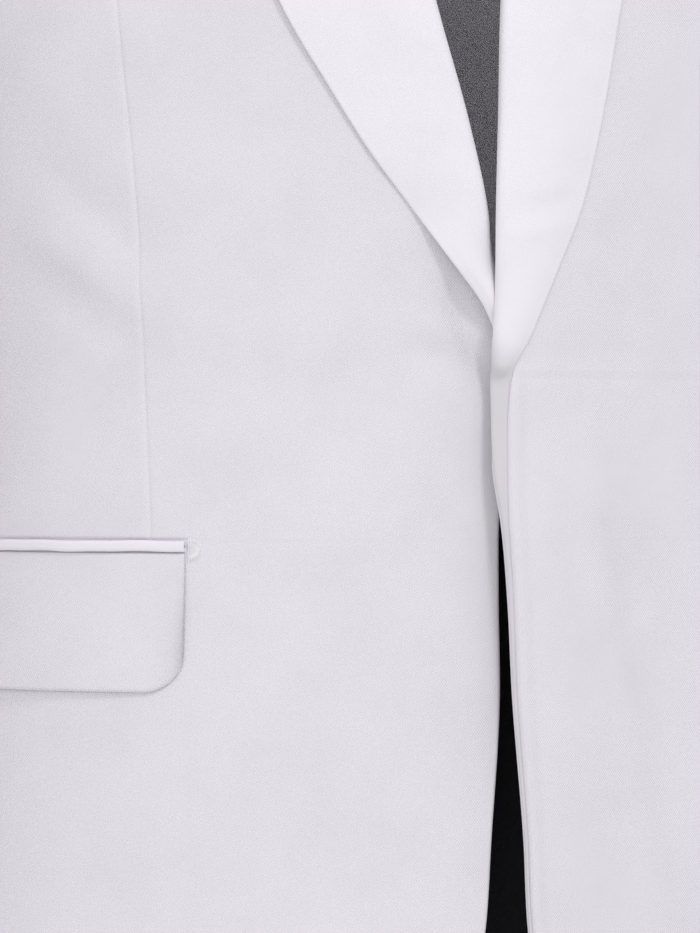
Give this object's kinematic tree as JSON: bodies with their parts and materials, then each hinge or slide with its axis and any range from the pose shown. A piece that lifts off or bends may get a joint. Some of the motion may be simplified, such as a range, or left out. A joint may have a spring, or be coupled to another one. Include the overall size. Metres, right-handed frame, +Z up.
{
  "type": "tuxedo",
  "caption": "Worn tuxedo as hollow cloth: white shawl-collar dinner jacket closing edge to edge over plain black trousers, open at neck, cuffs, hem and legs.",
  "frame": {"origin": "the nape, at the middle of the back neckline, where the wearer's neck carries the jacket", "axes": "+Z up, the front faces -Y, the wearer's left is +X"},
  "size_m": [0.589, 0.2973, 1.5255],
  "materials": {
    "white_wool": "matte fine twill",
    "black_wool": "matte"
  },
  "bodies": {
    "root": {"front_right": "white_wool", "front_left": "white_wool", "side_right": "white_wool", "side_left": "white_wool", "back_right": "white_wool", "back_left": "white_wool", "sleeve_top_right": "white_wool", "sleeve_top_left": "white_wool", "sleeve_under_right": "white_wool", "sleeve_under_left": "white_wool", "shawl_right": "white_wool", "shawl_left": "white_wool", "collar_stand": "white_wool", "pocket_welt_right": "white_wool", "pocket_welt_left": "white_wool", "pocket_flap_right": "white_wool", "pocket_flap_left": "white_wool", "trouser_front_right": "black_wool", "trouser_front_left": "black_wool", "trouser_back_right": "black_wool", "trouser_back_left": "black_wool", "waistband_right": "black_wool", "waistband_left": "black_wool"}
  },
  "joints": []
}
